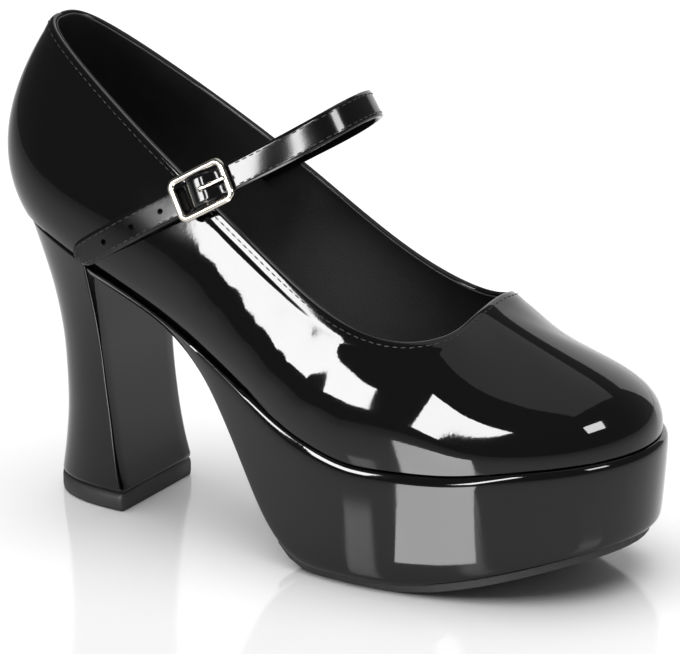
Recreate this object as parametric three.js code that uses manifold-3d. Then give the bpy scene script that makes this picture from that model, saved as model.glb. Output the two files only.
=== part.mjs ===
// Platform mary jane pump, right shoe. Millimetres, +Z up, +X towards the toe, -Y the outer (little toe) side.
// The lower edge of the upper is the feather line. Everything is lofted from it: the upper rises from it in ribs,
// and the insole, platform, outsole and heel take their outlines from it.
import * as THREE from "three";
import Module from "manifold-3d";

const wasm = await Module();
wasm.setup();

// ---- driving dimensions ----
const LENGTH = 232; // back of the feather line's frame to the toe
const BALL_WIDTH = 82.5; // feather line across the ball
const PLATFORM_HEIGHT = 40.5; // floor to footbed under the ball
const HEEL_RISE = 55; // footbed at the back above footbed at the ball
const WALL = 1.8; // patent outer and lining together
const GAP = 0.3; // between pieces that meet
const INSOLE_THICKNESS = 3.2;
const OUTSOLE_THICKNESS = 2.5;
const TOP_PIECE_THICKNESS = 6;
const STRAP_WIDTH = 9;
const STRAP_THICKNESS = 1.8;
const TAB_WIDTH = 8.4;
const TAB_THICKNESS = 1.4;
const PRONG_RADIUS = 0.7;

// ---- smooth curves from short tables ----

// y(x) through rows of [x, y] with no overshoot between them.
function profile(rows) {
  const secant = (i) => (rows[i + 1][1] - rows[i][1]) / (rows[i + 1][0] - rows[i][0]);
  const slopes = rows.map((row, i) => {
    if (i === 0) return secant(0);
    if (i === rows.length - 1) return secant(i - 1);
    const before = secant(i - 1);
    const after = secant(i);
    return before * after <= 0 ? 0 : (2 * before * after) / (before + after);
  });
  return (x) => {
    let i = 0;
    while (i < rows.length - 2 && x > rows[i + 1][0]) i += 1;
    const span = rows[i + 1][0] - rows[i][0];
    const t = (x - rows[i][0]) / span;
    if (t < 0) return rows[i][1] + slopes[i] * t * span;
    if (t > 1) return rows[i + 1][1] + slopes[i + 1] * (t - 1) * span;
    const rest = 1 - t;
    return (
      rows[i][1] * rest * rest * (1 + 2 * t) +
      rows[i + 1][1] * t * t * (1 + 2 * rest) +
      span * t * rest * (slopes[i] * rest - slopes[i + 1] * t)
    );
  };
}

// A closed curve through the values, smooth to its curvature. One value is one step of u.
function closedSpline(values) {
  const count = values.length;
  const wrap = (i) => (i + count) % count;
  const controls = [...values];
  for (let pass = 0; pass < 20; pass += 1) {
    for (let i = 0; i < count; i += 1) {
      const here = (controls[wrap(i - 1)] + 4 * controls[i] + controls[wrap(i + 1)]) / 6;
      controls[i] += 1.5 * (values[i] - here);
    }
  }
  return (u) => {
    const i = Math.floor(u);
    const t = u - i;
    const weights = [(1 - t) ** 3, 3 * t ** 3 - 6 * t ** 2 + 4, -3 * t ** 3 + 3 * t ** 2 + 3 * t + 1, t ** 3];
    return weights.reduce((sum, weight, k) => sum + (weight / 6) * controls[wrap(i - 1 + k)], 0);
  };
}

// ---- the last ----

// Height of the feather line over the floor along the foot: heel seat, shank, tread and toe spring.
const footbed = profile(
  [
    [0.0, 1.03, 0],
    [0.1, 0.97, 0],
    [0.2, 0.805, 0],
    [0.32, 0.585, 0],
    [0.45, 0.31, 0],
    [0.56, 0.085, 0],
    [0.66, 0, 0],
    [0.76, 0, 0.5],
    [0.88, 0, 4],
    [1.0, 0, 6.5],
  ].map(([at, rise, spring]) => [at * LENGTH, PLATFORM_HEIGHT + rise * HEEL_RISE + spring]),
);

// The ribs stand in pairs from the back of the heel to the toe, a row for each pair in these two tables.
// The feather line at their feet: foot is a share of LENGTH, outer and inner are shares of BALL_WIDTH. low is the
// rib's handle there, out and up in mm.
const FEATHER = [
  { foot: 0.035, outer: 0, inner: 0, low: [12.5, 21] },
  { foot: 0.06, outer: -0.21, inner: 0.2, low: [11.5, 20] },
  { foot: 0.13, outer: -0.33, inner: 0.31, low: [8.5, 17.5] },
  { foot: 0.235, outer: -0.355, inner: 0.3, low: [7, 15] },
  { foot: 0.345, outer: -0.37, inner: 0.26, low: [6.5, 14] },
  { foot: 0.455, outer: -0.425, inner: 0.28, low: [5, 14.5] },
  { foot: 0.555, outer: -0.485, inner: 0.355, low: [3, 16] },
  { foot: 0.655, outer: -0.51, inner: 0.445, low: [2.5, 17.5] },
  { foot: 0.76, outer: -0.475, inner: 0.49, low: [2.2, 18] },
  { foot: 0.86, outer: -0.392, inner: 0.465, low: [2, 18] },
  { foot: 0.945, outer: -0.22, inner: 0.355, low: [2, 19.5] },
  { foot: 0.985, outer: 0.06, inner: 0.06, low: [2.3, 21.5] },
];

// The topline at their tops, in the same shares. The rises are its height over the footbed on each side in mm, and
// high is the rib's handle there, out and up in mm.
const TOPLINE = [
  { top: 0.076, outer: 0, inner: 0, outerRise: 62, innerRise: 62, high: [12.5, -19] },
  { top: 0.095, outer: -0.12, inner: 0.13, outerRise: 60.5, innerRise: 60.5, high: [11, -18] },
  { top: 0.185, outer: -0.22, inner: 0.24, outerRise: 55, innerRise: 55, high: [6, -17] },
  { top: 0.295, outer: -0.285, inner: 0.315, outerRise: 49.5, innerRise: 49.5, high: [3.5, -13.5] },
  { top: 0.4, outer: -0.325, inner: 0.35, outerRise: 46, innerRise: 46, high: [2.7, -12] },
  { top: 0.505, outer: -0.355, inner: 0.368, outerRise: 43, innerRise: 43, high: [3, -12] },
  { top: 0.598, outer: -0.37, inner: 0.375, outerRise: 39.5, innerRise: 40, high: [5, -12] },
  { top: 0.68, outer: -0.345, inner: 0.365, outerRise: 37.5, innerRise: 37.5, high: [9, -10] },
  { top: 0.73, outer: -0.262, inner: 0.29, outerRise: 38.5, innerRise: 40.5, high: [14, -11] },
  { top: 0.742, outer: -0.155, inner: 0.18, outerRise: 40, innerRise: 43, high: [20, -12.5] },
  { top: 0.742, outer: -0.06, inner: 0.085, outerRise: 41.5, innerRise: 43, high: [26, -13] },
  { top: 0.743, outer: 0.015, inner: 0.015, outerRise: 42.5, innerRise: 42.5, high: [29, -13.5] },
];
const RIB_TURN = 2 * (FEATHER.length - 1); // u of one turn: back, outer side, toe, inner side

// A closed spline of one column, with the outer side's values first and the inner side's after the toe.
function ribLoop(table, outerValue, innerValue = outerValue) {
  const outward = table.map(outerValue);
  const homeward = table.slice(1, -1).map(innerValue).reverse();
  return closedSpline([...outward, ...homeward]);
}

const footX = ribLoop(FEATHER, (row) => row.foot * LENGTH);
const footY = ribLoop(FEATHER, (row) => row.outer * BALL_WIDTH, (row) => row.inner * BALL_WIDTH);
const lowOut = ribLoop(FEATHER, (row) => row.low[0]);
const lowUp = ribLoop(FEATHER, (row) => row.low[1]);
const topX = ribLoop(TOPLINE, (row) => row.top * LENGTH);
const topY = ribLoop(TOPLINE, (row) => row.outer * BALL_WIDTH, (row) => row.inner * BALL_WIDTH);
const topZ = ribLoop(
  TOPLINE,
  (row) => footbed(row.top * LENGTH) + row.outerRise,
  (row) => footbed(row.top * LENGTH) + row.innerRise,
);
const highOut = ribLoop(TOPLINE, (row) => row.high[0]);
const highUp = ribLoop(TOPLINE, (row) => row.high[1]);

// Unit vector that points out of a loop in plan.
function outward(x, y, u) {
  const step = 0.01;
  const along = new THREE.Vector2(x(u + step) - x(u - step), y(u + step) - y(u - step)).normalize();
  return new THREE.Vector3(along.y, -along.x, 0);
}

// A point of the feather line, moved outwards in plan and then set on a height function.
function featherPoint(u, outset, height) {
  const point = new THREE.Vector3(footX(u), footY(u), 0).addScaledVector(outward(footX, footY, u), outset);
  return point.setZ(height(point.x));
}

// The outer surface of the upper: v runs up a rib, from the feather line to the topline.
function upperPoint(u, v) {
  const foot = featherPoint(u, 0, footbed);
  const top = new THREE.Vector3(topX(u), topY(u), topZ(u));
  const low = foot.clone().addScaledVector(outward(footX, footY, u), lowOut(u));
  low.z += lowUp(u);
  const high = top.clone().addScaledVector(outward(topX, topY, u), highOut(u));
  high.z += highUp(u);
  return new THREE.CubicBezierCurve3(foot, low, high, top).getPoint(v);
}

// The lining surface, a wall's thickness inside the outer one.
function liningPoint(u, v) {
  if (v === 0) return featherPoint(u, -WALL, footbed);
  const step = 0.01;
  const around = upperPoint(u + step, v).sub(upperPoint(u - step, v));
  const up = upperPoint(u, Math.min(1, v + step)).sub(upperPoint(u, Math.max(0, v - step)));
  return upperPoint(u, v).addScaledVector(around.cross(up).normalize(), -WALL);
}

// ---- solids from rings of points ----

function meshOf(name, points, triangles, material) {
  const geometry = new THREE.BufferGeometry();
  geometry.setAttribute("position", new THREE.Float32BufferAttribute(points.flatMap((p) => [p.x, p.y, p.z]), 3));
  geometry.setIndex(triangles);
  geometry.computeVertexNormals();
  const mesh = new THREE.Mesh(geometry, material);
  mesh.name = name;
  return mesh;
}

// Joins closed rings, counter-clockwise seen against their order. The last ring meets the first in a looped skin;
// otherwise a ladder of rungs between its first and last points, and so inwards, closes each end ring.
function skin(name, rings, material, looped = false) {
  const count = rings[0].length;
  const triangles = [];
  const index = (ring, i) => (ring % rings.length) * count + (i % count);
  const bands = looped ? rings.length : rings.length - 1;
  for (let ring = 0; ring < bands; ring += 1) {
    for (let i = 0; i < count; i += 1) {
      triangles.push(index(ring, i), index(ring, i + 1), index(ring + 1, i + 1));
      triangles.push(index(ring, i), index(ring + 1, i + 1), index(ring + 1, i));
    }
  }
  const close = (ring, face) => {
    for (let near = 0, far = count - 1; far - near > 1; near += 1, far -= 1) {
      face(index(ring, near), index(ring, near + 1), index(ring, far));
      if (far - near > 2) face(index(ring, near + 1), index(ring, far - 1), index(ring, far));
    }
  };
  if (!looped) {
    close(rings.length - 1, (a, b, c) => triangles.push(a, b, c));
    close(0, (a, b, c) => triangles.push(c, b, a));
  }
  return meshOf(name, rings.flat(), triangles, material);
}

// A round rod through a few points that lie in a plane of constant y, or along y.
function rod(name, points, radius, material) {
  const rings = points.map((point, i) => {
    const before = points[Math.max(0, i - 1)];
    const after = points[Math.min(points.length - 1, i + 1)];
    const run = after.clone().sub(before).normalize();
    const side = Math.abs(run.y) > 0.5 ? new THREE.Vector3(1, 0, 0) : new THREE.Vector3(0, 1, 0);
    const up = run.clone().cross(side);
    return range(8, (k) =>
      point
        .clone()
        .addScaledVector(side, radius * Math.cos((k * Math.PI) / 4))
        .addScaledVector(up, radius * Math.sin((k * Math.PI) / 4)),
    );
  });
  return skin(name, rings, material);
}

// Two meshes as one solid.
function joined(name, one, other, material) {
  const [a, b] = [one, other].map(
    ({ geometry }) =>
      new wasm.Manifold(
        new wasm.Mesh({
          numProp: 3,
          vertProperties: new Float32Array(geometry.attributes.position.array),
          triVerts: new Uint32Array(geometry.index.array),
        }),
      ),
  );
  const { vertProperties, triVerts } = a.add(b).getMesh();
  const points = range(vertProperties.length / 3, (i) => new THREE.Vector3().fromArray(vertProperties, 3 * i));
  return meshOf(name, points, Array.from(triVerts), material);
}

const range = (count, make) => Array.from({ length: count }, (unused, i) => make(i));

// ---- materials ----
const patent = new THREE.MeshStandardMaterial({ color: 0x0b0b0d, roughness: 0.08, metalness: 0 });
const rubber = new THREE.MeshStandardMaterial({ color: 0x121212, roughness: 0.75, metalness: 0 });
const sock = new THREE.MeshStandardMaterial({ color: 0x19191b, roughness: 0.5, metalness: 0 });
const nickel = new THREE.MeshStandardMaterial({ color: 0xc9c5bd, roughness: 0.22, metalness: 1 });

// ---- upper ----
const UPPER_RIBS = 96;
const RIB_STEPS = [0, 0.03, 0.09, 0.17, 0.26, 0.36, 0.46, 0.56, 0.66, 0.75, 0.84, 0.91, 0.965, 1];

function makeUpper() {
  const outer = RIB_STEPS.map((v) => range(UPPER_RIBS, (i) => upperPoint((i * RIB_TURN) / UPPER_RIBS, v)));
  const lining = RIB_STEPS.map((v) => range(UPPER_RIBS, (i) => liningPoint((i * RIB_TURN) / UPPER_RIBS, v)));
  return skin("upper", [...outer, ...lining.reverse()], patent, true);
}

// ---- insole ----
function makeInsole() {
  const outline = (outset, lift) =>
    range(UPPER_RIBS, (i) => featherPoint((i * RIB_TURN) / UPPER_RIBS, outset, (x) => footbed(x) + lift));
  const edge = -WALL - GAP;
  return skin("insole", [outline(edge, 0), outline(edge, INSOLE_THICKNESS)], sock);
}

// ---- platform and outsole ----
const BREAST = 46; // heel breast line, from the back

// u where the outer feather line crosses a distance from the back; the inner one crosses at RIB_TURN - u.
function uAt(x) {
  let low = 0;
  let high = RIB_TURN / 2;
  for (let pass = 0; pass < 40; pass += 1) {
    const middle = (low + high) / 2;
    if (footX(middle) < x) low = middle;
    else high = middle;
  }
  return low;
}

// Underside of the sole over the floor, outsole included: waist, back of the platform, flat tread and toe spring.
const underside = profile([
  [44, 79.5],
  [60, 73],
  [75, 66],
  [90, 53],
  [103, 32],
  [115, 11],
  [125, 2],
  [134, 0],
  [160, 0],
  [172, 1.2],
  [186, 4.2],
  [200, 8.2],
  [216, 12.8],
  [232, 16.5],
]);

// Outline of a sole piece from a straight line across the foot to the toe. That line joins its two ends.
function soleOutline(from, steps, outset, height) {
  const start = uAt(from);
  return range(steps + 1, (i) => featherPoint(start + ((RIB_TURN - 2 * start) * i) / steps, outset, height));
}

// How the platform's wall stands out from the feather line, from its foot to its top.
const PLATFORM_WALL = [
  { share: 0, outset: -1.5 },
  { share: 0.025, outset: -0.5 },
  { share: 0.08, outset: 0 },
  { share: 0.3, outset: 0.6 },
  { share: 0.6, outset: 1.3 },
  { share: 0.88, outset: 1.8 },
  { share: 0.96, outset: 1.5 },
  { share: 1, outset: 0.4 },
];

const PLATFORM_STEPS = 74;

function makePlatform() {
  const bottom = (x) => underside(x) + OUTSOLE_THICKNESS + GAP;
  const top = (x) => footbed(x) - GAP;
  const rings = PLATFORM_WALL.map(({ share, outset }) =>
    soleOutline(BREAST, PLATFORM_STEPS, outset, (x) => bottom(x) + (top(x) - bottom(x)) * share),
  );
  return skin("platform", rings, patent);
}

const OUTSOLE_START = 118; // where the outsole begins, from the back
const OUTSOLE_INSET = 3.6; // inside the feather line
const OUTSOLE_STEPS = 54;

function makeOutsole() {
  const rings = [0, 1].map((share) =>
    soleOutline(OUTSOLE_START, OUTSOLE_STEPS, -OUTSOLE_INSET, (x) => underside(x) + OUTSOLE_THICKNESS * share),
  );
  return skin("outsole", rings, rubber);
}

// ---- heel and its top piece ----

// The heel block from the floor up: share of its height, back and breast from the back of the shoe, width share.
const HEEL_ROWS = [
  { share: 0, back: 18.5, breast: 52.3, width: 0.77 },
  { share: 0.12, back: 20.5, breast: 50, width: 0.75 },
  { share: 0.3, back: 22, breast: 48, width: 0.73 },
  { share: 0.5, back: 21.7, breast: 46.2, width: 0.745 },
  { share: 0.7, back: 19.2, breast: 45.2, width: 0.805 },
  { share: 0.88, back: 14.5, breast: 44.3, width: 0.91 },
  { share: 1, back: 10.8, breast: 44, width: 1 },
];
const heelBack = profile(HEEL_ROWS.map((row) => [row.share, row.back]));
const heelBreast = profile(HEEL_ROWS.map((row) => [row.share, row.breast]));
const heelWidth = profile(HEEL_ROWS.map((row) => [row.share, row.width]));

const HEEL_STEPS = 34;
const HEEL_LEVELS = 13;

// Outline of the heel at a share of its height: the seat's outline, drawn in towards the column.
function heelRing(share, height) {
  const start = uAt(BREAST - 1);
  const seatBack = footX(0);
  const seatLength = footX(start) - seatBack;
  const length = heelBreast(share) - heelBack(share);
  const edge = range(HEEL_STEPS + 1, (i) =>
    featherPoint(RIB_TURN - start + (2 * start * i) / HEEL_STEPS, 0, footbed),
  );
  return edge.map((point) => {
    const x = heelBack(share) + ((point.x - seatBack) * length) / seatLength;
    return new THREE.Vector3(x, point.y * heelWidth(share), height(x));
  });
}

function makeHeel() {
  const floor = TOP_PIECE_THICKNESS + GAP;
  const rings = range(HEEL_LEVELS, (i) => {
    const share = i / (HEEL_LEVELS - 1);
    return heelRing(share, (x) => floor + (footbed(x) - GAP - floor) * share);
  });
  return skin("heel", rings, patent);
}

function makeTopPiece() {
  return skin("heel_top_piece", [heelRing(0, () => 0), heelRing(0, () => TOP_PIECE_THICKNESS)], rubber);
}

// ---- strap, its tab and the buckle ----

// They lie in one plane that rises towards the toe. "along" climbs in it, "across" is the strap's width,
// and a distance along is counted from the middle of the buckle.
const STRAP_TILT = THREE.MathUtils.degToRad(30.5);
const ALONG = new THREE.Vector3(Math.cos(STRAP_TILT), 0, Math.sin(STRAP_TILT));
const ACROSS = new THREE.Vector3(-Math.sin(STRAP_TILT), 0, Math.cos(STRAP_TILT));
const BUCKLE_SPOT = new THREE.Vector3(89.2, 0, 114.8); // the buckle's middle, seen from the side

const inPlane = (along, y, across) =>
  BUCKLE_SPOT.clone().addScaledVector(ALONG, along).addScaledVector(ACROSS, across).setY(y);

// The lines in which a wall of the upper meets the strap's plane and the planes through the edges of a strip: y over
// the distance along. They run on straight where the wall ends.
function wallLines(upper, width, from, stations) {
  const sideways = new THREE.Vector3(0, 1, 0);
  return [-width / 2, 0, width / 2].map((across) =>
    profile(
      stations.map((along) => {
        const ray = new THREE.Raycaster(inPlane(along, from, across), sideways);
        return [along, ray.intersectObject(upper)[0].point.y];
      }),
    ),
  );
}

// A strip of leather through its stations, each with the middle of its thickness at the lower edge, in the middle
// and at the upper edge, and with its outward normal.
function ribbon(name, stations, thickness) {
  const rings = stations.map(({ edges, normal }) => {
    const [lower, middle, upper] = edges;
    const face = (point, side) => point.clone().addScaledVector(normal, (side * thickness) / 2);
    return [face(upper, 1), face(middle, 1), face(lower, 1), face(lower, -1), face(middle, -1), face(upper, -1)];
  });
  return skin(name, rings, patent);
}

const FREE_END = 51; // from the buckle's middle to the tip
// Stations of the strap and its tab along the wall.
const FREE_PART = [-43, -37, -31, -25, -19, -13, -10, -7.5, -6, -4.5, -3.2, -2, -0.8, 0.8, 2, 3.2, 4.5, 6, 7.5];
const INNER_PART = [4, -1, -6, -11, -16]; // down inside the inner quarter
const TAB_LENGTH = 47;
const TAB_PART = [-TAB_LENGTH, -40, -34, -28, -22, -16, -11, -6, -2, 1.5];
const STRAP_LIFT = GAP + TAB_THICKNESS + GAP + STRAP_THICKNESS / 2; // its centre line over the wall
const FRAME = { length: 21, width: 14.8, corner: 3.3, bar: 2.3, thickness: 1.8 };
const CORNER_STEPS = 6; // of each of its corners
const FRAME_LIFT = STRAP_LIFT + STRAP_THICKNESS / 2 + 2 * GAP + FRAME.thickness / 2; // its middle plane over the wall
const CENTRE_BAR = { radius: 0.8, drop: 1 }; // below the frame's middle plane
const HUMP = FRAME_LIFT - CENTRE_BAR.drop + CENTRE_BAR.radius + GAP + STRAP_THICKNESS / 2 - STRAP_LIFT;
const HUMP_FOOT = FRAME.length / 2 - FRAME.corner; // where the strap leaves the side bars
const HUMP_FLAT = 1.2; // level over the centre bar, each way
const ARCH = { start: 9.5, reach: 47.6, lift: 2, handle: 31, shoulder: 14 }; // reach and lift place its top
const STRAP_TIP = [
  { from: 0, share: 0.12 },
  { from: 0.9, share: 0.62 },
  { from: 2.2, share: 0.86 },
  { from: 4, share: 0.97 },
]; // share of the width at distances from the tip
const INNER_LIFT = 0.5 + STRAP_THICKNESS / 2; // its centre line off the lining there

// How the strap lies on a wall at a distance along it: its run, its width's direction and its outward normal.
function lieOn(lines, along) {
  const point = (line, at, across) => inPlane(at, line(at), across);
  const run = point(lines[1], along + 0.5, 0).sub(point(lines[1], along - 0.5, 0)).normalize();
  const side = point(lines[2], along, STRAP_WIDTH / 2).sub(point(lines[0], along, -STRAP_WIDTH / 2)).normalize();
  return { middle: point(lines[1], along, 0), run, side, normal: run.clone().cross(side).normalize() };
}

// A station of a strip held at a lift from a wall, whose lines are met under the strip's edges and middle.
function wallStation(lines, along, lift, width) {
  const { normal } = lieOn(lines, along);
  const edges = lines.map((line, k) =>
    inPlane(along, line(along), ((k - 1) * width) / 2).addScaledVector(normal, lift),
  );
  return { edges, normal };
}

function makeStrap(outerLines, innerLines) {
  // free end with a round tip, then over the centre bar
  const hump = profile([
    [-FREE_END, 0],
    [-HUMP_FOOT, 0],
    [-HUMP_FLAT, HUMP],
    [HUMP_FLAT, HUMP],
    [HUMP_FOOT, 0],
    [ARCH.start, 0],
  ]);
  const tip = STRAP_TIP.map(({ from, share }) =>
    wallStation(outerLines, -FREE_END + from, STRAP_LIFT, STRAP_WIDTH * share),
  );
  const free = FREE_PART.map((along) => wallStation(outerLines, along, STRAP_LIFT + hump(along), STRAP_WIDTH));

  // the arch over the instep, in two halves that turn level towards the top
  const outer = lieOn(outerLines, ARCH.start);
  const inner = lieOn(innerLines, ARCH.start);
  const start = outer.middle.addScaledVector(outer.normal, STRAP_LIFT);
  const home = inner.middle.addScaledVector(inner.normal, INNER_LIFT);
  const top = inPlane(ARCH.reach, 0, ARCH.lift);
  const shoulder = new THREE.Vector3(0, ARCH.shoulder, 0);
  const rising = new THREE.CubicBezierCurve3(
    start,
    start.clone().addScaledVector(outer.run, ARCH.handle),
    top.clone().sub(shoulder),
    top,
  );
  const falling = new THREE.CubicBezierCurve3(
    top,
    top.clone().add(shoulder),
    home.clone().addScaledVector(inner.run, ARCH.handle),
    home,
  );
  const archStation = (half, t, lean, share) => {
    const side = ACROSS.clone().lerp(lean, share * share).normalize();
    const point = half.getPoint(t);
    return {
      edges: [-0.5, 0, 0.5].map((part) => point.clone().addScaledVector(side, part * STRAP_WIDTH)),
      normal: half.getTangent(t).cross(side).normalize(),
    };
  };
  const arch = [
    ...range(12, (i) => archStation(rising, i / 12, outer.side, 1 - i / 12)),
    ...range(13, (i) => archStation(falling, i / 12, inner.side, i / 12)),
  ];

  // down inside the inner quarter, where its outward side faces the lining
  const end = INNER_PART.map((along) => {
    const { edges, normal } = wallStation(innerLines, along, INNER_LIFT, STRAP_WIDTH);
    return { edges, normal: normal.negate() };
  });
  return ribbon("strap", [...tip, ...free, ...arch, ...end], STRAP_THICKNESS);
}

function makeTab(lines) {
  const stations = TAB_PART.map((along) => wallStation(lines, along, GAP + TAB_THICKNESS / 2, TAB_WIDTH));
  return ribbon("buckle_tab", stations, TAB_THICKNESS);
}

// The buckle's own space: x along the strap, y across it, z outwards, with the frame's middle at the origin.
function makeBuckle(outerLines) {
  const { middle: spot, run, normal } = lieOn(outerLines, 0);
  const place = new THREE.Matrix4()
    .makeBasis(run, normal.clone().cross(run), normal)
    .setPosition(spot.addScaledVector(normal, FRAME_LIFT));

  // a square ring with round corners, and an eight-sided bar around it
  const corner = FRAME.corner - FRAME.bar / 2;
  const half = [FRAME.length / 2 - FRAME.corner, FRAME.width / 2 - FRAME.corner];
  const ring = range(4 * (CORNER_STEPS + 1), (i) => {
    const quarter = Math.floor(i / (CORNER_STEPS + 1));
    const angle = ((quarter + (i % (CORNER_STEPS + 1)) / CORNER_STEPS) * Math.PI) / 2;
    const centre = [quarter === 0 || quarter === 3 ? half[0] : -half[0], quarter < 2 ? half[1] : -half[1]];
    const out = new THREE.Vector3(Math.cos(angle), Math.sin(angle), 0);
    return { middle: new THREE.Vector3(...centre, 0).addScaledVector(out, corner), out };
  });
  const section = range(8, (k) => (-(k + 0.5) * Math.PI) / 4);
  const frameRings = ring.map(({ middle, out }) =>
    section.map((angle) =>
      middle
        .clone()
        .addScaledVector(out, (Math.cos(angle) * FRAME.bar) / 2 / Math.cos(Math.PI / 8))
        .add(new THREE.Vector3(0, 0, (Math.sin(angle) * FRAME.thickness) / 2 / Math.cos(Math.PI / 8))),
    ),
  );
  const frame = skin("buckle_frame", frameRings, nickel, true);

  const barReach = FRAME.width / 2 - FRAME.bar / 2;
  const barEnds = [-barReach, barReach].map((y) => new THREE.Vector3(0, y, -CENTRE_BAR.drop));
  const bar = rod("bar", barEnds, CENTRE_BAR.radius, nickel);
  // the prong leaves the strap over the bar and comes down on the frame's end
  const overStrap = HUMP + STRAP_LIFT + STRAP_THICKNESS / 2 + GAP - FRAME_LIFT + PRONG_RADIUS;
  const overFrame = FRAME.thickness / 2 + GAP + PRONG_RADIUS;
  const prongPath = [
    [1, overStrap],
    [2.5, overStrap],
    [5.5, overFrame + 0.25],
    [FRAME.length / 2 - 0.4, overFrame],
  ].map(([x, z]) => new THREE.Vector3(x, 0, z));
  const prong = rod("buckle_prong", prongPath, PRONG_RADIUS, nickel);
  return [joined("buckle_frame", frame, bar, nickel), prong].map((mesh) => {
    mesh.geometry.applyMatrix4(place);
    return mesh;
  });
}

// ---- the shoe ----
const OUTSIDE = -200; // y from which the outer wall is met; the inner quarter's lining is met from y = 0
const OUTER_STATIONS = [-44, -36, -28, -20, -13, -7];
const INNER_STATIONS = [-26, -18, -11, -6];

const upper = makeUpper();
const outerLines = wallLines(upper, STRAP_WIDTH, OUTSIDE, OUTER_STATIONS);
const innerLines = wallLines(upper, STRAP_WIDTH, 0, INNER_STATIONS);

const shoe = new THREE.Group();
shoe.add(
  upper,
  makeInsole(),
  makePlatform(),
  makeOutsole(),
  makeHeel(),
  makeTopPiece(),
  makeStrap(outerLines, innerLines),
  makeTab(wallLines(upper, TAB_WIDTH, OUTSIDE, OUTER_STATIONS)),
  ...makeBuckle(outerLines),
);

// The origin is on the floor under the middle of the shoe.
const box = new THREE.Box3().setFromObject(shoe);
const middle = box.getCenter(new THREE.Vector3());
shoe.position.set(-middle.x, -middle.y, -box.min.z);
export default shoe;
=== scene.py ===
import math
import bmesh
import bpy
import numpy
from mathutils import Matrix, Vector
from mathutils.bvhtree import BVHTree
from mathutils.kdtree import KDTree


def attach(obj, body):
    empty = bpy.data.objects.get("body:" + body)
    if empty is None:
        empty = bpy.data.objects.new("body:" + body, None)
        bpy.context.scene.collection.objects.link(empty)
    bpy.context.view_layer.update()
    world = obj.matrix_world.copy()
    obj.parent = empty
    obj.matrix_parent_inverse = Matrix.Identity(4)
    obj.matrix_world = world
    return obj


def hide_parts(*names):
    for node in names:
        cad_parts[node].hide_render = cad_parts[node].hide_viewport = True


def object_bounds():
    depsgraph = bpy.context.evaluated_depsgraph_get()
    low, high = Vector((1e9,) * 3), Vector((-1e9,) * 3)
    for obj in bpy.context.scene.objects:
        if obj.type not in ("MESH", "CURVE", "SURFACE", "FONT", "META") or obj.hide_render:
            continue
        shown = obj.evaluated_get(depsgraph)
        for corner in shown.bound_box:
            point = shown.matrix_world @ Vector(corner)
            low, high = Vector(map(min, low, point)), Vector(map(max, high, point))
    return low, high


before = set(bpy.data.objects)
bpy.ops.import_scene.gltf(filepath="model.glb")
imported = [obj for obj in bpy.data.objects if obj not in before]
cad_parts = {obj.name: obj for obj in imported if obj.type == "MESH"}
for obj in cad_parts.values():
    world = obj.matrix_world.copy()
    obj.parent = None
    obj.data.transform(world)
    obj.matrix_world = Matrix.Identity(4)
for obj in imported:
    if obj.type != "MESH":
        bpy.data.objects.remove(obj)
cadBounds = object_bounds()

# Platform mary jane, right shoe: toe to +X, outer side to -Y, standing on z = 0.
# Blender works in metres. Lengths in millimetres are multiplied by mm.
mm = 0.001
shoeMiddle = (cadBounds[0] + cadBounds[1]) / 2


# camera: azimuth is in degrees from the outer side towards the toe
view = {
    "azimuth": 31.04,
    "elevation": 18.58,
    "roll": -0.354,
    "aim": (4.45 * mm, 1.47 * mm, 67.85 * mm),
    "distance": 1.5077,
    "lens": 254.15,
}


def addCamera():
    azimuth = math.radians(view["azimuth"])
    elevation = math.radians(view["elevation"])
    right = Vector((math.cos(azimuth), math.sin(azimuth), 0))
    level = Vector((math.sin(azimuth), -math.cos(azimuth), 0))
    back = level * math.cos(elevation) + Vector((0, 0, math.sin(elevation)))
    up = back.cross(right)
    data = bpy.data.cameras.new("camera")
    data.lens = view["lens"]
    data.sensor_width = 36
    data.clip_end = 20
    camera = bpy.data.objects.new("camera", data)
    turn = Matrix((right, up, back)).transposed() @ Matrix.Rotation(math.radians(view["roll"]), 3, "Z")
    camera.matrix_world = Matrix.Translation(Vector(view["aim"]) + back * view["distance"]) @ turn.to_4x4()
    bpy.context.collection.objects.link(camera)
    bpy.context.scene.camera = camera


addCamera()
print("camera set")


# A socket that takes part in sums, and makes the other nodes of its material.
class Wire:
    def __init__(self, tree, socket=None):
        self.tree = tree
        self.socket = socket

    def make(self, kind, settings=None, sockets=None, out=0):
        node = self.tree.nodes.new(kind)
        for key, value in (settings or {}).items():
            setattr(node, key, value)
        for key, value in (sockets or {}).items():
            if isinstance(value, Wire):
                self.tree.links.new(value.socket, node.inputs[key])
            else:
                node.inputs[key].default_value = value
        return Wire(self.tree, node.outputs[out])

    def maths(self, operation, first, second):
        return self.make("ShaderNodeMath", {"operation": operation}, {0: first, 1: second})

    def __add__(self, other):
        return self.maths("ADD", self, other)

    def __radd__(self, other):
        return self.maths("ADD", other, self)

    def __mul__(self, other):
        return self.maths("MULTIPLY", self, other)

    def __rmul__(self, other):
        return self.maths("MULTIPLY", other, self)


def newMaterial(name, fixed):
    material = bpy.data.materials.new(name)
    material.use_nodes = True
    tree = material.node_tree
    tree.nodes.clear()
    shader = tree.nodes.new("ShaderNodeBsdfPrincipled")
    output = tree.nodes.new("ShaderNodeOutputMaterial")
    tree.links.new(shader.outputs[0], output.inputs[0])
    for key, value in fixed.items():
        shader.inputs[key].default_value = value
    return material, Wire(tree), shader


def feed(shader, **links):
    for key, wire in links.items():
        wire.tree.links.new(wire.socket, shader.inputs[key.replace("_", " ")])


def mixColor(wire, factor, first, second):
    return wire.make("ShaderNodeMix", {"data_type": "RGBA"}, {0: factor, 6: first, 7: second}, out=2)


def objectPlace(wire):
    return wire.make("ShaderNodeTexCoord", out=3)


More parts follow.
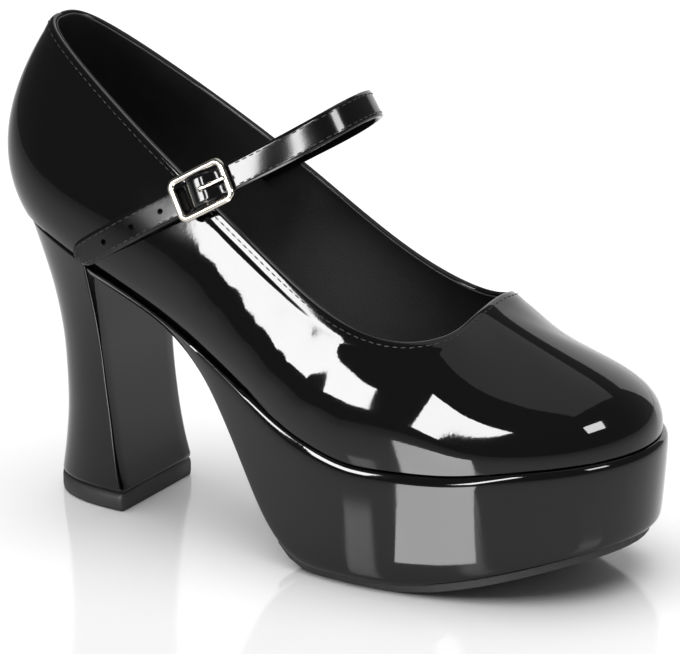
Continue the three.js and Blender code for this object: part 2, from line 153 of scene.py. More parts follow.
def noise(wire, place, scale, detail):
    sockets = {"Vector": place, "Scale": scale, "Detail": detail, "Roughness": 0.5}
    return wire.make("ShaderNodeTexNoise", {}, sockets)


def between(wire, value, low, high):  # 0 below low, 1 above high
    return wire.make("ShaderNodeMapRange", {}, {"Value": value, 1: low, 2: high})


def bump(wire, height):
    return wire.make("ShaderNodeBump", {}, {"Strength": 1.0, "Distance": 1.0, "Height": height})


def cloudy(wire, shader, cloud, look):  # colour and roughness that wander between two ends
    least, most = look["roughness"]
    feed(
        shader,
        Base_Color=mixColor(wire, cloud, look["dark"], look["pale"]),
        Roughness=cloud * (most - least) + least,
    )


# patent leather: a mirror film over black leather, with a faint orange peel, slack ripples and a little dust
patentLook = {
    "ior": 1.43,
    "black": (0.0022, 0.0022, 0.0028, 1),
    "dust": (0.012, 0.012, 0.012, 1),
    "smear": {"scale": 38, "low": 0.45, "high": 0.75, "roughness": 0.06},
    "speck": {"scale": 2600, "low": 0.72, "high": 0.8, "roughness": 0.1, "color": 0.25},
    "peel": {"scale": 900, "depth": 0.0035 * mm},
    "slack": {"scale": 55, "depth": 0.05 * mm},
}


def patentMaterial(name, ripple, roughness):  # ripple is how much of the slack this piece shows
    smear = patentLook["smear"]
    speck = patentLook["speck"]
    peel = patentLook["peel"]
    slack = patentLook["slack"]
    material, wire, shader = newMaterial(name, {"IOR": patentLook["ior"]})
    place = objectPlace(wire)
    smears = between(wire, noise(wire, place, smear["scale"], 4), smear["low"], smear["high"])
    specks = between(wire, noise(wire, place, speck["scale"], 1), speck["low"], speck["high"])
    height = noise(wire, place, peel["scale"], 1) * peel["depth"]
    height += noise(wire, place, slack["scale"], 2) * (slack["depth"] * ripple)
    feed(
        shader,
        Base_Color=mixColor(wire, specks * speck["color"], patentLook["black"], patentLook["dust"]),
        Roughness=smears * smear["roughness"] + specks * speck["roughness"] + roughness,
        Normal=bump(wire, height),
    )
    return material


# lining: thin matt leather with fine pores
liningLook = {
    "ior": 1.45,
    "dark": (0.012, 0.012, 0.0125, 1),
    "pale": (0.026, 0.025, 0.025, 1),
    "roughness": (0.42, 0.57),
    "cloudScale": 60,
    "pores": {"scale": 1500, "depth": 0.03 * mm},
    "grain": {"scale": 4000, "depth": 0.02 * mm},
}


def liningMaterial():
    look = liningLook
    material, wire, shader = newMaterial("lining_leather", {"IOR": look["ior"]})
    place = objectPlace(wire)
    pores = wire.make("ShaderNodeTexVoronoi", {}, {"Vector": place, "Scale": look["pores"]["scale"]})
    height = pores * look["pores"]["depth"]
    height += noise(wire, place, look["grain"]["scale"], 2) * look["grain"]["depth"]
    cloudy(wire, shader, noise(wire, place, look["cloudScale"], 4), look)
    feed(shader, Normal=bump(wire, height))
    return material


# rubber of the outsole and the heel's top piece
rubberLook = {
    "ior": 1.5,
    "dark": (0.02, 0.02, 0.02, 1),
    "pale": (0.042, 0.041, 0.04, 1),
    "roughness": (0.5, 0.7),
    "cloudScale": 90,
    "grain": {"scale": 3000, "depth": 0.04 * mm},
}


def rubberMaterial():
    look = rubberLook
    material, wire, shader = newMaterial("sole_rubber", {"IOR": look["ior"]})
    place = objectPlace(wire)
    height = noise(wire, place, look["grain"]["scale"], 3) * look["grain"]["depth"]
    cloudy(wire, shader, noise(wire, place, look["cloudScale"], 5), look)
    feed(shader, Normal=bump(wire, height))
    return material


# nickel of the buckle: polished, with fine scratches along one way
nickelLook = {
    "dark": (0.52, 0.48, 0.43, 1),
    "pale": (0.64, 0.6, 0.54, 1),
    "roughness": (0.05, 0.13),
    "cloudScale": 300,
    "scratches": {"scale": 2500, "squeeze": (1, 1, 9), "depth": 0.002 * mm},
}


def nickelMaterial():
    look = nickelLook
    scratches = look["scratches"]
    material, wire, shader = newMaterial("polished_nickel", {"Metallic": 1.0})
    place = objectPlace(wire)
    squeezed = wire.make("ShaderNodeMapping", {}, {"Vector": place, "Scale": scratches["squeeze"]})
    height = noise(wire, squeezed, scratches["scale"], 2) * scratches["depth"]
    cloudy(wire, shader, noise(wire, place, look["cloudScale"], 3), look)
    feed(shader, Normal=bump(wire, height))
    return material


# thread: black, a little paler where the twist catches light
threadLook = {
    "ior": 1.45,
    "dark": (0.008, 0.008, 0.009, 1),
    "pale": (0.03, 0.03, 0.032, 1),
    "roughness": (0.35, 0.55),
    "twistScale": 5000,
}


def threadMaterial():
    look = threadLook
    material, wire, shader = newMaterial("black_thread", {"IOR": look["ior"]})
    cloudy(wire, shader, noise(wire, objectPlace(wire), look["twistScale"], 1), look)
    return material


patent = patentMaterial("patent_leather", ripple=1.0, roughness=0.035)
patentFlat = patentMaterial("patent_on_sole", ripple=0.5, roughness=0.035)
patentStrap = patentMaterial("patent_on_strap", ripple=0.5, roughness=0.12)  # thinner film, a little duller
lining = liningMaterial()
rubber = rubberMaterial()
nickel = nickelMaterial()
thread = threadMaterial()
print("materials made")


# angles, in degrees, over which an edge of the CAD shapes counts as a corner
sharpAngle = {"patch": 50, "crease": 40, "prong": 60}


def cadCopy(node):  # a merged copy of a CAD node, its triangles paired back into quads
    bm = bmesh.new()
    bm.from_mesh(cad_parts[node].data)
    bmesh.ops.remove_doubles(bm, verts=bm.verts, dist=0.005 * mm)
    bmesh.ops.join_triangles(
        bm,
        faces=bm.faces,
        angle_face_threshold=math.radians(sharpAngle["patch"]),
        angle_shape_threshold=math.radians(180),
        topology_influence=1.5,
    )
    return bm


def creaseEdges(bm, rule):  # rule gives an edge's crease from 0 to 1
    layer = bm.edges.layers.float.get("crease_edge") or bm.edges.layers.float.new("crease_edge")
    for edge in bm.edges:
        edge[layer] = rule(edge)


def sharper(degrees, crease):
    return lambda edge: crease if edge.calc_face_angle(0) > math.radians(degrees) else 0


def toPiece(bm, name, material):
    mesh = bpy.data.meshes.new(name)
    bm.to_mesh(mesh)
    bm.free()
    piece = bpy.data.objects.new(name, mesh)
    bpy.context.collection.objects.link(piece)
    mesh.materials.append(material)
    mesh.polygons.foreach_set("use_smooth", [True] * len(mesh.polygons))
    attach(piece, "root")
    return piece


def subdivide(piece, levels):
    modifier = piece.modifiers.new("subdivision", "SUBSURF")
    modifier.levels = levels
    modifier.render_levels = levels
    return piece


def applied(piece):  # the piece with its modifiers made real
    depsgraph = bpy.context.evaluated_depsgraph_get()
    mesh = bpy.data.meshes.new_from_object(piece.evaluated_get(depsgraph))
    piece.modifiers.clear()
    piece.data = mesh
    return piece


def shapeOf(piece):
    shape = bmesh.new()
    shape.from_mesh(piece.data)
    return shape


def patches(bm, degrees):  # faces grouped between sharp edges, largest area first
    left = set(bm.faces)
    groups = []
    while left:
        first = min(left, key=lambda face: face.index)
        left.discard(first)
        group = {first}
        queue = [first]
        while queue:
            for edge in queue.pop().edges:
                if edge.calc_face_angle(0) > math.radians(degrees):
                    continue
                for face in edge.link_faces:
                    if face in left:
                        left.discard(face)
                        group.add(face)
                        queue.append(face)
        groups.append(group)
    return sorted(groups, key=lambda group: -sum(face.calc_area() for face in group))


def outwardness(group):  # above zero for a patch that faces away from the middle of the shoe
    return sum(face.normal.dot(face.calc_center_median() - shoeMiddle) * face.calc_area() for face in group)


def rimLoop(group):  # the points of a patch's highest border, in order
    border = set()
    for face in group:
        border.update(edge for edge in face.edges if sum(other in group for other in edge.link_faces) == 1)
    loops = []
    while border:
        edge = min(border, key=lambda item: item.index)
        border.discard(edge)
        loop = list(edge.verts)
        while loop[0] != loop[-1]:
            following = next(other for other in loop[-1].link_edges if other in border)
            border.discard(following)
            loop.append(following.other_vert(loop[-1]))
        loops.append(loop[:-1])
    return max(loops, key=lambda loop: sum(vert.co.z for vert in loop) / len(loop))


def insetLoop(group, loop, distance):  # places a distance inside a patch's border
    inside = {vert for face in group for vert in face.verts} - set(loop)
    places = []
    for vert in loop:
        inner = [edge.other_vert(vert) for edge in vert.link_edges if edge.other_vert(vert) in inside]
        if inner:
            places.append(vert.co + (inner[0].co - vert.co).normalized() * distance)
    return places


def closedRuns(points):  # each point with the next, round to the first again
    return list(zip(points, points[1:] + points[:1]))


def withBorders(faces):  # faces with their edges and corners
    edges = dict.fromkeys(edge for face in faces for edge in face.edges)
    verts = dict.fromkeys(vert for face in faces for vert in face.verts)
    return [*faces, *edges, *verts]


def smooth(value):  # 0 to 1 with soft ends
    value = max(0.0, min(1.0, value))
    return value * value * (3 - 2 * value)


# stitches: short rounded threads laid on a surface along a row
stitch = {"pitch": 2.6 * mm, "length": 1.9 * mm, "thickness": 0.42 * mm, "proud": 0.1, "sides": 6, "rings": 5}


def addStitches(bm, row, surface, skip):
    runs = closedRuns(row)
    total = sum((end - start).length for start, end in runs)
    step = total / int(total / stitch["pitch"])
    size = Matrix.Diagonal((stitch["thickness"] / 2, stitch["thickness"] / 2, stitch["length"] / 2, 1))
    wanted = step / 2
    travelled = 0.0
    for start, end in runs:
        run = end - start
        while run.length > 0 and wanted <= travelled + run.length:
            place = start + run * (wanted - travelled) / run.length
            wanted += step
            if skip(place):
                continue
            place, normal = surface.find_nearest(place)[:2]
            side = normal.cross(run).normalized()
            turn = Matrix((normal, side, side.cross(normal).normalized())).transposed().to_4x4()
            spot = Matrix.Translation(place + normal * stitch["thickness"] * stitch["proud"])
            bmesh.ops.create_uvsphere(
                bm,
                u_segments=stitch["sides"],
                v_segments=stitch["rings"],
                radius=1,
                matrix=spot @ turn @ size,
            )
        travelled += run.length


def stitchPiece(name, row, surface, skip=lambda place: False):
    bm = bmesh.new()
    addStitches(bm, row, surface, skip)
    bmesh.ops.recalc_face_normals(bm, faces=bm.faces)
    toPiece(bm, name, thread)


# Upper: the wall with its rolled topline, the fold-over along it, the back seam and the folds of the patent.
# The fold-over's lower edge slopes over "step". The folds start at nothing at the topline and are whole
# "foldFade" below it.
upperPlan = {
    "topRoll": 0.3,
    "foldOver": {"width": 5 * mm, "step": 1.5 * mm, "height": 0.13 * mm},
    "foldFade": 8 * mm,
    "backSeam": {
        "front": cadBounds[0].x + 34 * mm,
        "reach": 12 * mm,
        "cuts": (0.45 * mm, 1.3 * mm),
        "width": 0.5 * mm,
        "depth": 0.45 * mm,
    },
    "stitchInset": 2.1 * mm,
    "liningGap": 0.1 * mm,
    "lining": 0.45 * mm,
}

# Folds of the patent: two ends on the outer surface, width and height (below zero is a trough), all in mm
folds = [
    {"from": (-26, -32, 99), "to": (-32, -34, 88), "width": 2.8, "height": 0.07},
    {"from": (-19, -32, 96), "to": (-26, -35, 82), "width": 2.4, "height": -0.08},
    {"from": (-13, -33, 91), "to": (-20, -36, 79), "width": 2.8, "height": 0.10},
    {"from": (-7, -33, 88), "to": (-14, -37, 75), "width": 2.4, "height": -0.08},
    {"from": (0, -33, 84), "to": (-8, -38, 70), "width": 3.0, "height": 0.10},
    {"from": (6, -34, 81), "to": (0, -39, 66), "width": 2.6, "height": -0.10},
    {"from": (13, -34, 77), "to": (6, -40, 62), "width": 3.2, "height": 0.10},
    {"from": (16, -39, 65), "to": (13, -41, 59), "width": 2.6, "height": -0.10},
    {"from": (27, -36, 72), "to": (20, -41, 57), "width": 3.2, "height": 0.11},
    {"from": (35, -36, 70), "to": (29, -42, 56), "width": 2.8, "height": -0.08},
    {"from": (20, 36, 76), "to": (8, 36, 62), "width": 4.0, "height": -0.13},
    {"from": (30, 38, 72), "to": (20, 39, 58), "width": 4.0, "height": 0.12},
]
foldReach = {"past": 0.6, "widths": 3}  # past an end, as a share of its length, and to the sides, in widths


def foldHeight(point):  # how far the folds lift a point off the plain surface
    total = 0.0
    for fold in folds:
        start = Vector(fold["from"]) * mm
        run = Vector(fold["to"]) * mm - start
        along = (point - start).dot(run) / run.length_squared
        if not -foldReach["past"] < along < 1 + foldReach["past"]:
            continue
        nearest = start + run * max(0.0, min(1.0, along))
        away = (point - nearest).length / (fold["width"] * mm)
        if away < foldReach["widths"]:
            total += fold["height"] * mm * math.exp(-away * away)
    return total


def cutBackSeam(bm):  # extra columns of faces beside the seam line, which is the middle of the heel's back
    seam = upperPlan["backSeam"]
    middle = min(bm.verts, key=lambda vert: vert.co.x).co.y
    for offset in [side * cut for cut in seam["cuts"] for side in (-1, 1)]:
        faces = [face for face in bm.faces if face.calc_center_median().x < seam["front"]]
        faces = [face for face in faces if abs(face.calc_center_median().y - middle) < seam["reach"]]
        bmesh.ops.bisect_plane(
            bm,
            geom=withBorders(faces),
            dist=0.01 * mm,
            plane_co=(0, middle + offset, 0),
            plane_no=(0, 1, 0),
        )
    return middle


def creaseUpper(bm, topRim):  # full creases at the corners, and a rolled edge along the top
    def rule(edge):
        if edge.calc_face_angle(0) < math.radians(sharpAngle["patch"]):
            return 0
        return upperPlan["topRoll"] if edge.verts[0] in topRim and edge.verts[1] in topRim else 1

    creaseEdges(bm, rule)


def liningSheet(bm, faces):  # a copy of the inner faces, a little off the wall
    bm.faces.index_update()
    kept = {face.index for face in faces}
    sheet = bm.copy()
    sheet.faces.ensure_lookup_table()
    sheet.faces.index_update()
    bmesh.ops.delete(sheet, geom=[face for face in sheet.faces if face.index not in kept], context="FACES")
    sheet.normal_update()
    for vert in sheet.verts:
        vert.co += vert.normal * upperPlan["liningGap"]
    return sheet


def searchLine(points, steps=8):  # a search tree of a closed line, with some places on each of its runs
    line = KDTree(len(points) * steps)
    for i, (start, end) in enumerate(closedRuns(points)):
        for k in range(steps):
            line.insert(start.lerp(end, k / steps), i * steps + k)
    line.balance()
    return line


def skinLift(point, fromTop, seamY):  # how far the patent stands off the plain wall
    foldOver = upperPlan["foldOver"]
    seam = upperPlan["backSeam"]
    lift = foldHeight(point) * min(1, fromTop / upperPlan["foldFade"])
    edge = min(1, fromTop / foldOver["step"])
    lift += foldOver["height"] * smooth((foldOver["width"] - fromTop) / foldOver["step"]) * edge
    if point.x < seam["front"]:
        lift -= seam["depth"] * math.exp(-(((point.y - seamY) / seam["width"]) ** 2))
    return lift


def makeUpper():
    bm = cadCopy("upper")
    seamY = cutBackSeam(bm)
    bm.normal_update()
    inner, outer = sorted(patches(bm, sharpAngle["patch"])[:2], key=outwardness)
    outerRim = rimLoop(outer)
    topRim = {*outerRim, *rimLoop(inner)}
    stitchRow = insetLoop(outer, outerRim, upperPlan["stitchInset"])
    topline = searchLine([vert.co.copy() for vert in outerRim])
    creaseUpper(bm, topRim)
    outerSkin = bm.verts.layers.float.new("outer_skin")
    for face in outer:
        for vert in face.verts:
            vert[outerSkin] = 1.0
    sheet = liningSheet(bm, [face for face in inner if not any(vert in topRim for vert in face.verts)])

    piece = toPiece(bm, "upper_patent", patent)
    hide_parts("upper")
    applied(subdivide(piece, 2))
    shape = shapeOf(piece)
    shape.normal_update()
    outerSkin = shape.verts.layers.float["outer_skin"]
    for vert in shape.verts:
        if vert[outerSkin] > 0.99:
            vert.co += vert.normal * skinLift(vert.co, topline.find(vert.co)[2], seamY)
    shape.to_mesh(piece.data)
    shape.normal_update()
    surface = BVHTree.FromBMesh(shape)
    shape.free()
    stitchPiece("topline_stitches", stitchRow, surface)

    skin = subdivide(toPiece(sheet, "upper_lining", lining), 2)
    leather = skin.modifiers.new("leather", "SOLIDIFY")
    leather.thickness = upperPlan["lining"]
    leather.offset = 1


makeUpper()
print("upper made")


def refined(node, name, material, crease, levels):
    bm = cadCopy(node)
    creaseEdges(bm, sharper(sharpAngle["crease"], crease))
    piece = subdivide(toPiece(bm, name, material), levels)
    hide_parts(node)


refined("platform", "platform_cover", patentFlat, crease=0.75, levels=3)
refined("heel", "heel_cover", patentFlat, crease=0.85, levels=3)
refined("heel_top_piece", "heel_top_rubber", rubber, crease=0.9, levels=2)
print("platform and heel made")


# Insole: the sock, with a soft pad under the heel. The pad's edge is a share of its reach.
heelPad = {"middle": (-84 * mm, 0.8 * mm), "reach": (24 * mm, 17 * mm), "edge": 0.18, "height": 1.0 * mm}


def makeInsole():
    bm = cadCopy("insole")
    bm.normal_update()
    creaseEdges(bm, sharper(sharpAngle["crease"], 0.6))
    piece = toPiece(bm, "insole_sock", lining)
    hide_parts("insole")
    applied(subdivide(piece, 3))
    shape = shapeOf(piece)
    middle = heelPad["middle"]
    reach = heelPad["reach"]
    for vert in shape.verts:
        if vert.normal.z > 0.3:  # the top side only
            away = math.hypot((vert.co.x - middle[0]) / reach[0], (vert.co.y - middle[1]) / reach[1])
            vert.co.z += heelPad["height"] * smooth((1 - away) / heelPad["edge"])
    shape.to_mesh(piece.data)
    shape.free()


makeInsole()


# Outsole: rubber with shallow grooves across the tread, inside a plain border
treadPlan = {
    "count": 18,
    "first": 8 * mm,
    "pitch": 5 * mm,
    "width": 1.2 * mm,
    "depth": 0.6 * mm,
    "wall": 0.25 * mm,
    "border": 5 * mm,
    "rounding": 0.3 * mm,
}


def cutGrooves(bm, field):  # strips across the tread, pressed into it
    plan = treadPlan
    grooves = [plan["first"] + i * plan["pitch"] for i in range(plan["count"])]
    for place in grooves:
        for side in (-0.5, 0.5):
            cut = bmesh.ops.bisect_plane(
                bm,
                geom=withBorders(field),
                dist=0.001 * mm,
                plane_co=(place + side * plan["width"], 0, 0),
                plane_no=(1, 0, 0),
            )
            field = [item for item in cut["geom"] if isinstance(item, bmesh.types.BMFace)]
    for place in grooves:
        strip = [face for face in field if face.is_valid]
        strip = [face for face in strip if abs(face.calc_center_median().x - place) < plan["width"] * 0.45]
        if strip:
            bmesh.ops.inset_region(
                bm, faces=strip, thickness=plan["wall"], depth=-plan["depth"], use_even_offset=True
            )


def makeOutsole():
    bm = cadCopy("outsole")
    bm.normal_update()
    under = [face for face in bm.faces if face.normal.z < -0.5]
    bmesh.ops.inset_region(bm, faces=under, thickness=treadPlan["border"], depth=0, use_even_offset=True)
    cutGrooves(bm, [face for face in under if face.is_valid])
    piece = toPiece(bm, "outsole_rubber", rubber)
    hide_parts("outsole")
    bevel = piece.modifiers.new("edges", "BEVEL")
    bevel.width = treadPlan["rounding"]
    bevel.segments = 2
    bevel.limit_method = "ANGLE"
    bevel.angle_limit = math.radians(sharpAngle["crease"])
    piece.data.polygons.foreach_set("use_smooth", [False] * len(piece.data.polygons))


makeOutsole()
print("insole and outsole made")


# Buckle, in mm: its frame stands "lift" off the wall, and the centre bar lies "centreDrop" below the frame
buckle = {
    "lift": 5.3,
    "length": 21,
    "width": 14.8,
    "corner": 3.3,
    "bar": 2.3,
    "thickness": 1.8,
    "centreBar": 0.8,
    "centreDrop": 1,
    "sides": 16,
    "cornerSteps": 7,
}


# The buckle's own space, in metres from the frame's middle: x along the strap, y across it, z outwards.
# Its axes are those of the CAD frame, which spreads most along the strap and least outwards.
def findBuckle():
    bm = bmesh.new()
    bm.from_mesh(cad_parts["buckle_frame"].data)
    area = sum(face.calc_area() for face in bm.faces)
    centre = sum((face.calc_center_median() * face.calc_area() for face in bm.faces), Vector()) / area
    spread = numpy.zeros((3, 3))
    for face in bm.faces:
        arm = numpy.array(face.calc_center_median() - centre)
        spread += numpy.outer(arm, arm) * face.calc_area()
    axes = numpy.linalg.eigh(spread)[1]
    out = Vector(axes[:, 0])
    run = Vector(axes[:, 2])
    out *= -math.copysign(1, out.y)
    run *= math.copysign(1, run.z)
    turn = Matrix((run, out.cross(run), out)).transposed()
    places = [turn.transposed() @ vert.co for vert in bm.verts]
    bm.free()
    low = Vector([min(place[i] for place in places) for i in range(3)])
    high = Vector([max(place[i] for place in places) for i in range(3)])
    middle = (low + high) / 2
    middle.z = high.z - buckle["thickness"] / 2 * mm
    return Matrix.Translation(turn @ middle) @ turn.to_4x4()


buckleSpace = findBuckle()

# Strap, in mm: three adjusting holes along the free end, at distances from the buckle, and one for the prong.
# "wallLift" is how far the middle of the strap lies off the wall, and "prongHole" is in the buckle's space.
strapPlan = {
    "stitchInset": 1.3,
    "clearOfStitches": 13,
    "holes": (-16.1, -27.2, -38.3),
    "wallLift": 2.9,
    "prongHole": (0.9, 0, 1),
    "holeRadius": 0.95,
    "holeDepth": 3,
}


def underBuckle():  # the place on the wall below the middle of the buckle
    return buckleSpace @ Vector((0, 0, -buckle["lift"] * mm))


def strapHoles():  # the middle and direction of each hole
    upper = cadCopy("upper")
    wall = BVHTree.FromBMesh(upper)
    upper.free()
    run = buckleSpace.col[0]
    along = Vector((run.x, 0, run.z)).normalized()
    start = underBuckle()
    holes = [(buckleSpace @ (Vector(strapPlan["prongHole"]) * mm), buckleSpace.col[2].to_3d())]
    for distance in strapPlan["holes"]:
        place = start + along * distance * mm
        place.y = cadBounds[0].y
        place, normal = wall.ray_cast(place, Vector((0, 1, 0)))[:2]
        holes.append((place + normal * strapPlan["wallLift"] * mm, normal))
    return holes


def punch(piece, holes):
    bm = bmesh.new()
    for place, normal in holes:
        turn = normal.to_track_quat("Z", "Y").to_matrix().to_4x4()
        bmesh.ops.create_cone(
            bm,
            cap_ends=True,
            segments=20,
            radius1=strapPlan["holeRadius"] * mm,
            radius2=strapPlan["holeRadius"] * mm,
            depth=strapPlan["holeDepth"] * mm,
            matrix=Matrix.Translation(place) @ turn,
        )
    mesh = bpy.data.meshes.new("punch")
    bm.to_mesh(mesh)
    bm.free()
    tool = bpy.data.objects.new("punch", mesh)
    bpy.context.collection.objects.link(tool)
    cut = piece.modifiers.new("holes", "BOOLEAN")
    cut.object = tool
    cut.operation = "DIFFERENCE"
    cut.solver = "EXACT"
    applied(piece)
    bpy.data.objects.remove(tool)


def makeStrap():
    bm = cadCopy("strap")
    bm.normal_update()
    outer = max(patches(bm, sharpAngle["patch"])[:2], key=outwardness)
    stitchRow = insetLoop(outer, rimLoop(outer), strapPlan["stitchInset"] * mm)
    creaseEdges(bm, sharper(sharpAngle["crease"], 0.7))
    piece = toPiece(bm, "strap_patent", patentStrap)
    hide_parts("strap")
    applied(subdivide(piece, 2))
    punch(piece, strapHoles())
    shape = shapeOf(piece)
    surface = BVHTree.FromBMesh(shape)
    shape.free()
    clear = strapPlan["clearOfStitches"] * mm
    stitchPiece("strap_stitches", stitchRow, surface, skip=lambda place: (place - underBuckle()).length < clear)


makeStrap()
refined("buckle_tab", "tab_patent", patentStrap, crease=0.6, levels=2)


def frameTube(bm):  # the frame's bar: a section drawn along each side and spun round each corner
    plan = buckle
    half = Vector((plan["length"] / 2 - plan["corner"], plan["width"] / 2 - plan["corner"], 0))
    bend = plan["corner"] - plan["bar"] / 2
    section = Matrix.Translation((half.x + bend, -half.y, 0)) @ Matrix.Rotation(math.pi / 2, 4, "X")
    section = section @ Matrix.Diagonal((plan["bar"] / 2, plan["thickness"] / 2, 1, 1))
    verts = bmesh.ops.create_circle(bm, segments=plan["sides"], radius=1, matrix=section)["verts"]
    edges = list(dict.fromkeys(edge for vert in verts for edge in vert.link_edges))
    sides = [
        {"heading": (0, 1, 0), "length": 2 * half.y, "corner": (half.x, half.y, 0)},
        {"heading": (-1, 0, 0), "length": 2 * half.x, "corner": (-half.x, half.y, 0)},
        {"heading": (0, -1, 0), "length": 2 * half.y, "corner": (-half.x, -half.y, 0)},
        {"heading": (1, 0, 0), "length": 2 * half.x, "corner": (half.x, -half.y, 0)},
    ]
    for side in sides:
        drawn = bmesh.ops.extrude_edge_only(bm, edges=edges)["geom"]
        verts = [item for item in drawn if isinstance(item, bmesh.types.BMVert)]
        edges = [item for item in drawn if isinstance(item, bmesh.types.BMEdge)]
        bmesh.ops.translate(bm, verts=verts, vec=Vector(side["heading"]) * side["length"])
        spun = bmesh.ops.spin(
            bm,
            geom=verts + edges,
            cent=side["corner"],
            axis=(0, 0, 1),
            angle=math.pi / 2,
            steps=plan["cornerSteps"],
            use_merge=False,
        )["geom_last"]
        edges = [item for item in spun if isinstance(item, bmesh.types.BMEdge)]
    bmesh.ops.remove_doubles(bm, verts=bm.verts, dist=0.001)


def makeBuckle():  # modelled in mm, then put in its place
    bm = bmesh.new()
    frameTube(bm)
    bmesh.ops.create_cone(
        bm,
        cap_ends=True,
        segments=buckle["sides"],
        radius1=buckle["centreBar"],
        radius2=buckle["centreBar"],
        depth=buckle["width"] - buckle["bar"],
        matrix=Matrix.Translation((0, 0, -buckle["centreDrop"])) @ Matrix.Rotation(math.pi / 2, 4, "X"),
    )
    bmesh.ops.recalc_face_normals(bm, faces=bm.faces)
    bmesh.ops.transform(bm, matrix=buckleSpace @ Matrix.Scale(mm, 4), verts=bm.verts)
    piece = subdivide(toPiece(bm, "buckle_nickel", nickel), 1)
    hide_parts("buckle_frame")


makeBuckle()


# Prong, in mm: an eye round the centre bar, and a peg that goes up from it through the strap's hole
prongEye = {
    "ring": 1.35,
    "tube": 0.42,
    "pegAt": (1.15, 0, 1.2),
    "pegFoot": 0.55,
    "pegTop": 0.65,
    "pegLength": 3.4,
}


def makeProng():
    bm = cadCopy("buckle_prong")
    creaseEdges(bm, sharper(sharpAngle["prong"], 0.5))
    piece = subdivide(toPiece(bm, "prong_nickel", nickel), 2)
    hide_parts("buckle_prong")


def makeProngEye():  # modelled in mm, then put in its place
    plan = prongEye
    bm = bmesh.new()
    section = Matrix.Translation((plan["ring"], 0, 0)) @ Matrix.Rotation(math.pi / 2, 4, "X")
    verts = bmesh.ops.create_circle(bm, segments=10, radius=plan["tube"], matrix=section)["verts"]
    edges = list(dict.fromkeys(edge for vert in verts for edge in vert.link_edges))
    bmesh.ops.spin(
        bm,
        geom=verts + edges,
        cent=(0, 0, 0),
        axis=(0, 1, 0),
        angle=math.tau,
        steps=20,
        use_merge=True,
    )
    bmesh.ops.recalc_face_normals(bm, faces=bm.faces)
    bmesh.ops.translate(bm, verts=bm.verts, vec=(0, 0, -buckle["centreDrop"]))
    bmesh.ops.create_cone(
        bm,
        cap_ends=True,
        segments=12,
        radius1=plan["pegFoot"],
        radius2=plan["pegTop"],
        depth=plan["pegLength"],
        matrix=Matrix.Translation(plan["pegAt"]),
    )
    bmesh.ops.transform(bm, matrix=buckleSpace @ Matrix.Scale(mm, 4), verts=bm.verts)
    toPiece(bm, "prong_eye", nickel)


makeProng()
makeProngEye()
print("strap and buckle made")


# Room: a pale glossy table, a white backdrop for the camera, and a card on the table that only the gloss sees
room = {
    "white": (0.86, 0.86, 0.86, 1),
    "ior": 1.3,
    "gloss": 0.1,
    "reach": 9.0,
    "backdrop": {"radius": 8.55, "height": 6.0},
}
tableCard = {"corners": ((43, -60), (-25, -350), (100, -350), (77, -58)), "height": 0.4, "radiance": 10}


def stageOf(bm, name, material):
    mesh = bpy.data.meshes.new(name)
    bm.to_mesh(mesh)
    bm.free()
    mesh.materials.append(material)
    stage = bpy.data.objects.new(name, mesh)
    bpy.context.collection.objects.link(stage)
    return stage


def flatStage(name, corners, height, material):
    bm = bmesh.new()
    bm.faces.new([bm.verts.new((x, y, height)) for x, y in corners])
    return stageOf(bm, name, material)


def seenOnly(stage, camera):  # a glowing sheet that only the camera, or only the gloss, can see
    stage.visible_camera = camera
    stage.visible_glossy = not camera
    stage.visible_diffuse = False
    stage.visible_shadow = False
    stage.visible_transmission = False


def addTable():
    look = {"IOR": room["ior"], "Roughness": room["gloss"], "Base Color": room["white"]}
    reach = room["reach"]
    corners = ((-reach, -reach), (reach, -reach), (reach, reach), (-reach, reach))
    flatStage("table", corners, 0, newMaterial("white_table", look)[0])


def addBackdrop():
    look = {"Base Color": (0, 0, 0, 1), "Emission Color": (1, 1, 1, 1), "Emission Strength": 1.0}
    backdrop = room["backdrop"]
    bm = bmesh.new()
    bmesh.ops.create_cone(
        bm,
        segments=48,
        radius1=backdrop["radius"],
        radius2=backdrop["radius"],
        depth=backdrop["height"],
        matrix=Matrix.Translation((0, 0, backdrop["height"] / 2)),
    )
    seenOnly(stageOf(bm, "backdrop", newMaterial("white_backdrop", look)[0]), camera=True)


def addTableCard():  # it glows upwards only, so the table doesn't mirror it
    look = {"Base Color": (0, 0, 0, 1), "Emission Strength": tableCard["radiance"]}
    material, wire, shader = newMaterial("light_card", look)
    backfacing = wire.make("ShaderNodeNewGeometry", out=6)
    feed(shader, Emission_Color=mixColor(wire, backfacing, (1, 1, 1, 1), (0, 0, 0, 1)))
    corners = [(x * mm, y * mm) for x, y in tableCard["corners"]]
    seenOnly(flatStage("table_card", corners, tableCard["height"] * mm, material), camera=False)


addTable()
addBackdrop()
addTableCard()

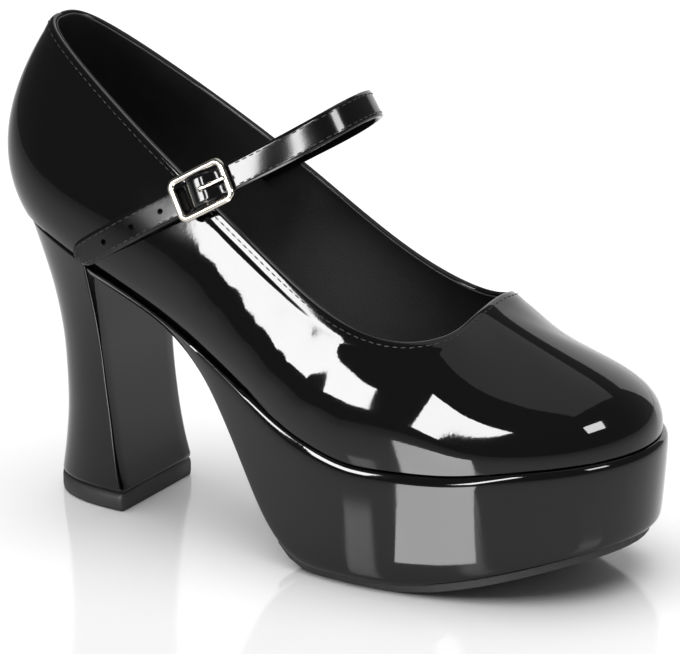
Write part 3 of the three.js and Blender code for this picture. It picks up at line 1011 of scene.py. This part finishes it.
# Lamps, in metres: where they stand, what they look at, and their size. Only the two boxes light matt surfaces.
lamps = [
    {
        "name": "quarter_card",
        "at": (-0.13, -0.336, 0.2),
        "to": (0.0, -0.03, 0.085),
        "size": (0.078, 0.12),
        "radiance": 29,
    },
    {
        "name": "toe_card",
        "at": (0.14, -0.816, 0.444),
        "to": (0.07, -0.03, 0.055),
        "size": (0.12, 0.66),
        "radiance": 29,
        "roll": -22,
    },
    {
        "name": "key_lamp",
        "at": (1.2, -0.23, 0.88),
        "to": (0.05, 0.0, 0.06),
        "size": (0.4, 0.34),
        "radiance": 20,
    },
    {
        "name": "top_box",
        "at": (0.15, 0.42, 1.6),
        "to": (0.15, 0.42, 0.0),
        "size": (1.4, 1.45),
        "radiance": 0.62,
        "lightsMatt": True,
    },
    {
        "name": "back_box",
        "at": (-0.45, 2.0, 0.8),
        "to": (0.05, 0, 0.3),
        "size": (2.0, 1.6),
        "radiance": 1.2,
        "lightsMatt": True,
    },
]
# a wide soft sun from overhead that the gloss doesn't show
fill = {"irradiance": 2.9, "spread": 75, "lean": (8, -4)}
surround = 0.18  # strength of the white world


def addLamp(lamp):
    place = Vector(lamp["at"])
    data = bpy.data.lights.new(lamp["name"], "AREA")
    data.shape = "RECTANGLE"
    data.size, data.size_y = lamp["size"]
    data.energy = lamp["radiance"] * math.pi * data.size * data.size_y
    light = bpy.data.objects.new(lamp["name"], data)
    light.location = place
    light.rotation_euler = (place - Vector(lamp["to"])).to_track_quat("Z", "Y").to_euler()
    light.rotation_euler.rotate_axis("Z", math.radians(lamp.get("roll", 0)))
    light.visible_camera = False
    light.visible_diffuse = lamp.get("lightsMatt", False)
    bpy.context.collection.objects.link(light)


def addFill():
    data = bpy.data.lights.new("fill", "SUN")
    data.energy = fill["irradiance"]
    data.angle = math.radians(fill["spread"])
    sun = bpy.data.objects.new("fill", data)
    sun.rotation_euler = (math.radians(fill["lean"][0]), math.radians(fill["lean"][1]), 0)
    sun.visible_glossy = False
    bpy.context.collection.objects.link(sun)


def addWorld():
    world = bpy.data.worlds.new("studio")
    world.use_nodes = True
    background = world.node_tree.nodes["Background"]
    background.inputs["Color"].default_value = (1, 1, 1, 1)
    background.inputs["Strength"].default_value = surround
    bpy.context.scene.world = world
    bpy.context.scene.view_settings.view_transform = "Standard"


for lamp in lamps:
    addLamp(lamp)
addFill()
addWorld()
print("lights set")
